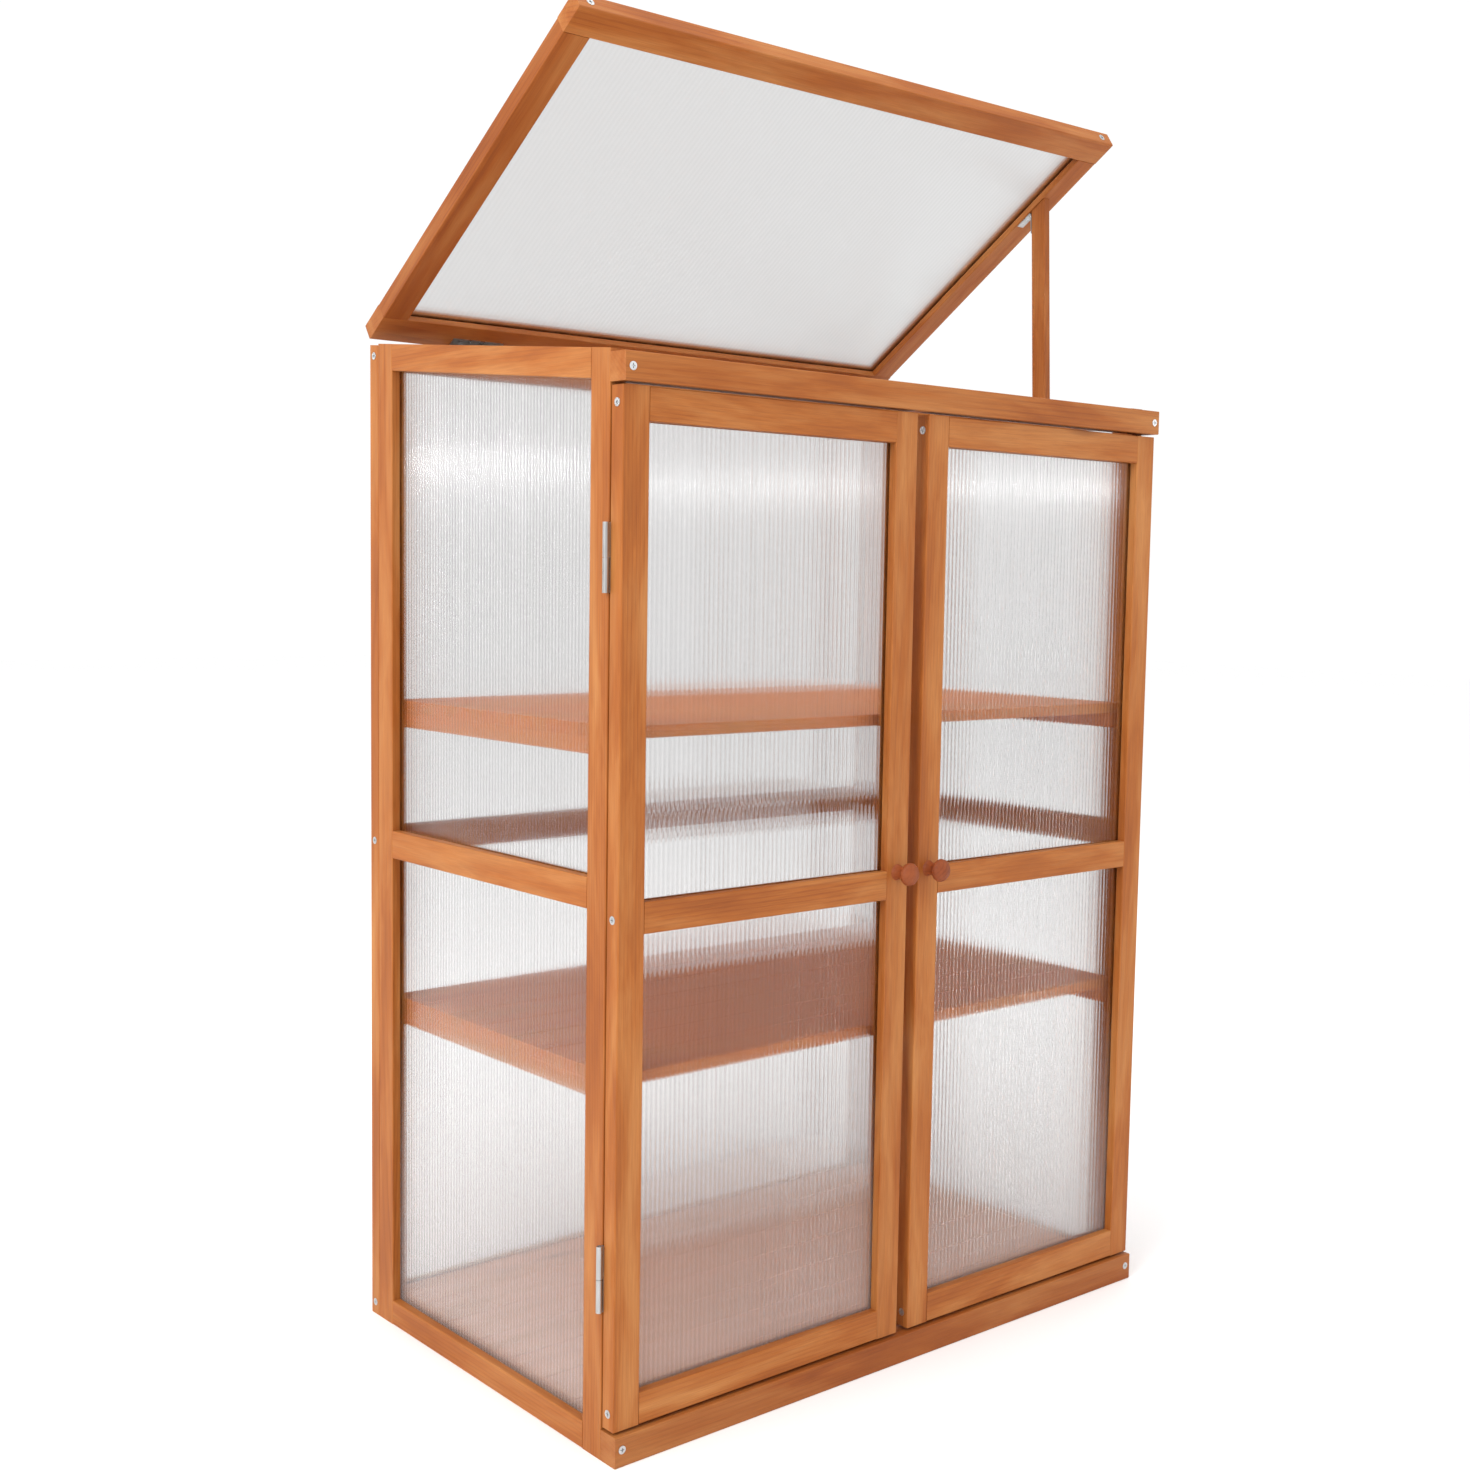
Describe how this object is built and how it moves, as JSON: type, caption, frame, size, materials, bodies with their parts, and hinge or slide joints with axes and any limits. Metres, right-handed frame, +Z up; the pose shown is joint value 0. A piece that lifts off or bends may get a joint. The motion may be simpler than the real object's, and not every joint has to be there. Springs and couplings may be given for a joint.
{
  "type": "standing cold frame",
  "caption": "Standing timber cold frame with twin-wall glazing: slatted decks inside, a pair of hinged front doors and a sloping hinged lid held up by a folding prop.",
  "frame": {"origin": "on the floor in the middle of the cabinet's footprint", "axes": "+X to the right seen from the front, +Y to the back, +Z up"},
  "size_m": [0.7728, 0.5054, 1.3601],
  "materials": {
    "timber": "stained softwood, satin",
    "deck_timber": "stained softwood, satin",
    "knob": "turned and stained, semi-gloss",
    "glazing": "translucent twin-wall sheet",
    "zinc": "bright zinc plate"
  },
  "bodies": {
    "cabinet": {"back_bottom_rail": "timber", "back_left_stile": "timber", "back_mid_rail": "timber", "back_panels": "glazing", "back_right_stile": "timber", "back_top_rail": "timber", "cabinet_screws": "zinc", "door_hinge_frame_leaves": "zinc", "door_hinge_pins": "zinc", "floor_cleats": "deck_timber", "floor_slats": "deck_timber", "front_bottom_rail": "timber", "front_top_rail": "timber", "left_side_back_stile": "timber", "left_side_bottom_rail": "timber", "left_side_front_stile": "timber", "left_side_mid_rail": "timber", "left_side_panels": "glazing", "left_side_top_rail": "timber", "lid_hinge_frame_leaves": "zinc", "lid_hinge_pins": "zinc", "lower_shelf_cleats": "deck_timber", "lower_shelf_slats": "deck_timber", "right_side_back_stile": "timber", "right_side_bottom_rail": "timber", "right_side_front_stile": "timber", "right_side_mid_rail": "timber", "right_side_panels": "glazing", "right_side_top_rail": "timber", "upper_shelf_cleats": "deck_timber", "upper_shelf_slats": "deck_timber"},
    "left_door": {"left_door_bottom_rail": "timber", "left_door_hinge_leaves": "zinc", "left_door_knob": "knob", "left_door_meeting_stile": "timber", "left_door_mid_rail": "timber", "left_door_outer_stile": "timber", "left_door_panels": "glazing", "left_door_screws": "zinc", "left_door_top_rail": "timber"},
    "right_door": {"right_door_bottom_rail": "timber", "right_door_hinge_leaves": "zinc", "right_door_knob": "knob", "right_door_meeting_stile": "timber", "right_door_mid_rail": "timber", "right_door_outer_stile": "timber", "right_door_panels": "glazing", "right_door_screws": "zinc", "right_door_top_rail": "timber"},
    "lid": {"lid_back_rail": "timber", "lid_front_rail": "timber", "lid_hinge_leaves": "zinc", "lid_left_rail": "timber", "lid_panel": "glazing", "lid_right_rail": "timber", "lid_screws": "zinc", "prop_hinge_lid_leaf": "zinc", "prop_hinge_pin": "zinc"},
    "prop": {"prop_bar": "timber", "prop_hinge_leaf": "zinc"}
  },
  "joints": [
    {"name": "left_door_hinge", "type": "hinge", "parent": "cabinet", "child": "left_door", "pos_m": [-0.3834, -0.2115, 0.513], "axis": [0, 0, -1], "range_deg": [0, 180]},
    {"name": "right_door_hinge", "type": "hinge", "parent": "cabinet", "child": "right_door", "pos_m": [0.3834, -0.2115, 0.513], "axis": [0, 0, 1], "range_deg": [0, 180]},
    {"name": "lid_hinge", "type": "hinge", "parent": "cabinet", "child": "lid", "pos_m": [0, 0.241, 1.08007], "axis": [-1, 0, 0], "range_deg": [-38.9, 66]},
    {"name": "prop_hinge", "type": "hinge", "parent": "lid", "child": "prop", "pos_m": [0.3545, -0.05476, 1.2755], "axis": [1, 0, 0], "range_deg": [0, 58]}
  ]
}
